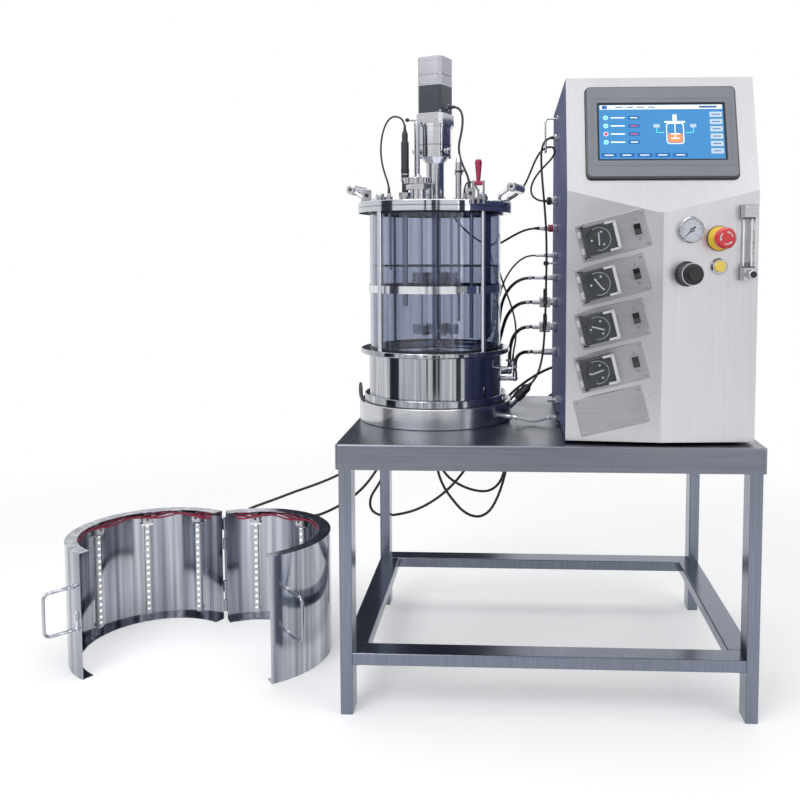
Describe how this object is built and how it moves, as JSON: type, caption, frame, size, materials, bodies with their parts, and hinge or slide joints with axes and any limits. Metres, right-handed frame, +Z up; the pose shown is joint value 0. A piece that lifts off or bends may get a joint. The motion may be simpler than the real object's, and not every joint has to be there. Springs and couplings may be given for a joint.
{
  "type": "bench bioreactor",
  "caption": "Stirred glass vessel and touch-screen control cabinet with pumps on a steel stand, with a hinged light jacket beside it.",
  "frame": {"origin": "bottom centre of the rigid pieces' box, on the floor", "axes": "+X to the right seen from the front, from the light jacket to the cabinet; +Y to the back; +Z up"},
  "size_m": [1.4992, 0.7041, 1.347],
  "materials": {
    "stand_steel": "satin",
    "base_steel": "brushed",
    "vessel_steel": "polished",
    "vessel_glass": "clear",
    "polished_steel": "polished",
    "lid_steel": "polished",
    "handle_steel": "knurled",
    "fitting_steel": "turned",
    "probe_black": "matte",
    "toggle_red": "gloss",
    "drive_steel": "turned",
    "motor_black": "satin",
    "motor_silver": "satin",
    "inner_steel": "polished",
    "cabinet_blue": "fine texture",
    "front_silver": "satin",
    "panel_grey": "satin",
    "plate_grey": "satin",
    "pump_black": "satin",
    "gauge_steel": "polished",
    "needle_black": "matte",
    "collar_yellow": "satin",
    "estop_red": "satin",
    "button_yellow": "satin",
    "regulator_black": "satin",
    "flow_steel": "satin",
    "flow_clear": "clear",
    "float_black": "satin",
    "knob_silver": "satin",
    "side_steel": "turned",
    "valve_black": "satin",
    "jacket_mirror": "polished",
    "strip_white": "gloss",
    "cord_black": "satin",
    "hose_black": "satin",
    "hose_clear": "translucent",
    "rotor_black": "satin",
    "cover_clear": "clear",
    "switch_black": "gloss"
  },
  "bodies": {
    "frame": {"table_top": "stand_steel", "stand_frame": "stand_steel", "vessel_base": "base_steel", "vessel_bottom": "vessel_steel", "glass_cylinder": "vessel_glass", "glass_hoop": "polished_steel", "tie_rods": "polished_steel", "flange_ring": "vessel_steel", "lid": "lid_steel", "lid_handles": "handle_steel", "lid_ports": "fitting_steel", "ph_probe": "probe_black", "stirrer_mount": "drive_steel", "motor_body": "motor_black", "motor_cap": "motor_silver", "vessel_internals": "inner_steel", "cabinet_shell": "cabinet_blue", "cabinet_front": "front_silver", "operator_panel": "panel_grey", "pump_plates": "plate_grey", "pump_heads": "pump_black", "gauge_case": "gauge_steel", "button_collars": "collar_yellow", "regulator_body": "regulator_black", "flowmeter_frame": "flow_steel", "flowmeter_tube": "flow_clear", "side_fittings": "side_steel", "jacket_right": "jacket_mirror", "led_strips_right": "strip_white", "jacket_cord_a": "cord_black", "jacket_cord_b": "cord_black", "heater_cord": "cord_black", "lid_cables": "cord_black", "side_cables": "cord_black", "process_hoses": "hose_black", "drain_hose": "hose_clear"},
    "toggle_lever": {"toggle_lever": "toggle_red"},
    "stirrer": {"stirrer": "inner_steel"},
    "gauge_needle": {"gauge_needle": "needle_black"},
    "estop_button": {"estop_button": "estop_red"},
    "start_button": {"start_button": "button_yellow"},
    "regulator_knob": {"regulator_knob": "regulator_black"},
    "flowmeter_float": {"flowmeter_float": "float_black"},
    "flowmeter_knob": {"flowmeter_knob": "knob_silver"},
    "side_valve_supply": {"side_valve_supply": "valve_black"},
    "side_valve_return": {"side_valve_return": "valve_black"},
    "jacket_left": {"jacket_left": "jacket_mirror", "led_strips_left": "strip_white"},
    "pump_rotor_1": {"pump_rotor_1": "rotor_black"},
    "pump_cover_1": {"pump_cover_1": "cover_clear"},
    "pump_switch_1": {"pump_switch_1": "switch_black"},
    "pump_rotor_2": {"pump_rotor_2": "rotor_black"},
    "pump_cover_2": {"pump_cover_2": "cover_clear"},
    "pump_switch_2": {"pump_switch_2": "switch_black"},
    "pump_rotor_3": {"pump_rotor_3": "rotor_black"},
    "pump_cover_3": {"pump_cover_3": "cover_clear"},
    "pump_switch_3": {"pump_switch_3": "switch_black"},
    "pump_rotor_4": {"pump_rotor_4": "rotor_black"},
    "pump_cover_4": {"pump_cover_4": "cover_clear"},
    "pump_switch_4": {"pump_switch_4": "switch_black"}
  },
  "joints": [
    {"name": "stirrer_spin", "type": "hinge", "parent": "frame", "child": "stirrer", "pos_m": [0.09056, 0.01829, 0.745], "axis": [0, 0, 1], "continuous": true},
    {"name": "toggle_swing", "type": "hinge", "parent": "frame", "child": "toggle_lever", "pos_m": [0.19216, -0.13371, 1.06], "axis": [1, 0, 0], "range_deg": [0, 85]},
    {"name": "pump_rotor_1_spin", "type": "hinge", "parent": "frame", "child": "pump_rotor_1", "pos_m": [0.42635, -0.27433, 0.94199], "axis": [-0.0767, -0.9971, 0], "continuous": true},
    {"name": "pump_cover_1_swing", "type": "hinge", "parent": "frame", "child": "pump_cover_1", "pos_m": [0.3951, -0.28928, 0.93423], "axis": [0.2496, -0.0192, -0.9681], "range_deg": [0, 110]},
    {"name": "pump_switch_1_tilt", "type": "hinge", "parent": "frame", "child": "pump_switch_1", "pos_m": [0.4989, -0.27791, 0.96077], "axis": [0.9653, -0.0743, 0.2504], "range_deg": [0, 16]},
    {"name": "pump_rotor_2_spin", "type": "hinge", "parent": "frame", "child": "pump_rotor_2", "pos_m": [0.42635, -0.27433, 0.85749], "axis": [-0.0767, -0.9971, 0], "continuous": true},
    {"name": "pump_cover_2_swing", "type": "hinge", "parent": "frame", "child": "pump_cover_2", "pos_m": [0.3951, -0.28928, 0.84973], "axis": [0.2496, -0.0192, -0.9681], "range_deg": [0, 110]},
    {"name": "pump_switch_2_tilt", "type": "hinge", "parent": "frame", "child": "pump_switch_2", "pos_m": [0.4989, -0.27791, 0.87627], "axis": [0.9653, -0.0743, 0.2504], "range_deg": [0, 16]},
    {"name": "pump_rotor_3_spin", "type": "hinge", "parent": "frame", "child": "pump_rotor_3", "pos_m": [0.42635, -0.27433, 0.77299], "axis": [-0.0767, -0.9971, 0], "continuous": true},
    {"name": "pump_cover_3_swing", "type": "hinge", "parent": "frame", "child": "pump_cover_3", "pos_m": [0.3951, -0.28928, 0.76523], "axis": [0.2496, -0.0192, -0.9681], "range_deg": [0, 110]},
    {"name": "pump_switch_3_tilt", "type": "hinge", "parent": "frame", "child": "pump_switch_3", "pos_m": [0.4989, -0.27791, 0.79177], "axis": [0.9653, -0.0743, 0.2504], "range_deg": [0, 16]},
    {"name": "pump_rotor_4_spin", "type": "hinge", "parent": "frame", "child": "pump_rotor_4", "pos_m": [0.42635, -0.27433, 0.68849], "axis": [-0.0767, -0.9971, 0], "continuous": true},
    {"name": "pump_cover_4_swing", "type": "hinge", "parent": "frame", "child": "pump_cover_4", "pos_m": [0.3951, -0.28928, 0.68073], "axis": [0.2496, -0.0192, -0.9681], "range_deg": [0, 110]},
    {"name": "pump_switch_4_tilt", "type": "hinge", "parent": "frame", "child": "pump_switch_4", "pos_m": [0.4989, -0.27791, 0.70727], "axis": [0.9653, -0.0743, 0.2504], "range_deg": [0, 16]},
    {"name": "gauge_needle_turn", "type": "hinge", "parent": "frame", "child": "gauge_needle", "pos_m": [0.60045, -0.28075, 0.959], "axis": [-0.0767, 0.9971, 0], "range_deg": [0, 270], "stiffness_Nm_per_rad": 0.002},
    {"name": "estop_press", "type": "slide", "parent": "frame", "child": "estop_button", "axis": [-0.0767, 0.9971, 0], "range_m": [0, 0.005]},
    {"name": "start_press", "type": "slide", "parent": "frame", "child": "start_button", "axis": [-0.0767, 0.9971, 0], "range_m": [0, 0.003], "stiffness_N_per_m": 400},
    {"name": "regulator_turn", "type": "hinge", "parent": "frame", "child": "regulator_knob", "pos_m": [0.59523, -0.29118, 0.876], "axis": [0.0767, -0.9971, 0], "continuous": true},
    {"name": "flow_knob_turn", "type": "hinge", "parent": "frame", "child": "flowmeter_knob", "pos_m": [0.70905, -0.29747, 0.8755], "axis": [0.0767, -0.9971, 0], "continuous": true},
    {"name": "float_rise", "type": "slide", "parent": "frame", "child": "flowmeter_float", "axis": [0, 0, 1], "range_m": [0, 0.084]},
    {"name": "supply_valve_turn", "type": "hinge", "parent": "frame", "child": "side_valve_supply", "pos_m": [0.33856, 0.05129, 0.804], "axis": [0, -1, 0], "range_deg": [0, 90]},
    {"name": "return_valve_turn", "type": "hinge", "parent": "frame", "child": "side_valve_return", "pos_m": [0.33856, 0.05129, 0.747], "axis": [0, -1, 0], "range_deg": [0, 90]},
    {"name": "jacket_swing", "type": "hinge", "parent": "frame", "child": "jacket_left", "pos_m": [-0.45144, 0.16829, 0.138], "axis": [0, 0, 1], "range_deg": [-60, 62]}
  ]
}
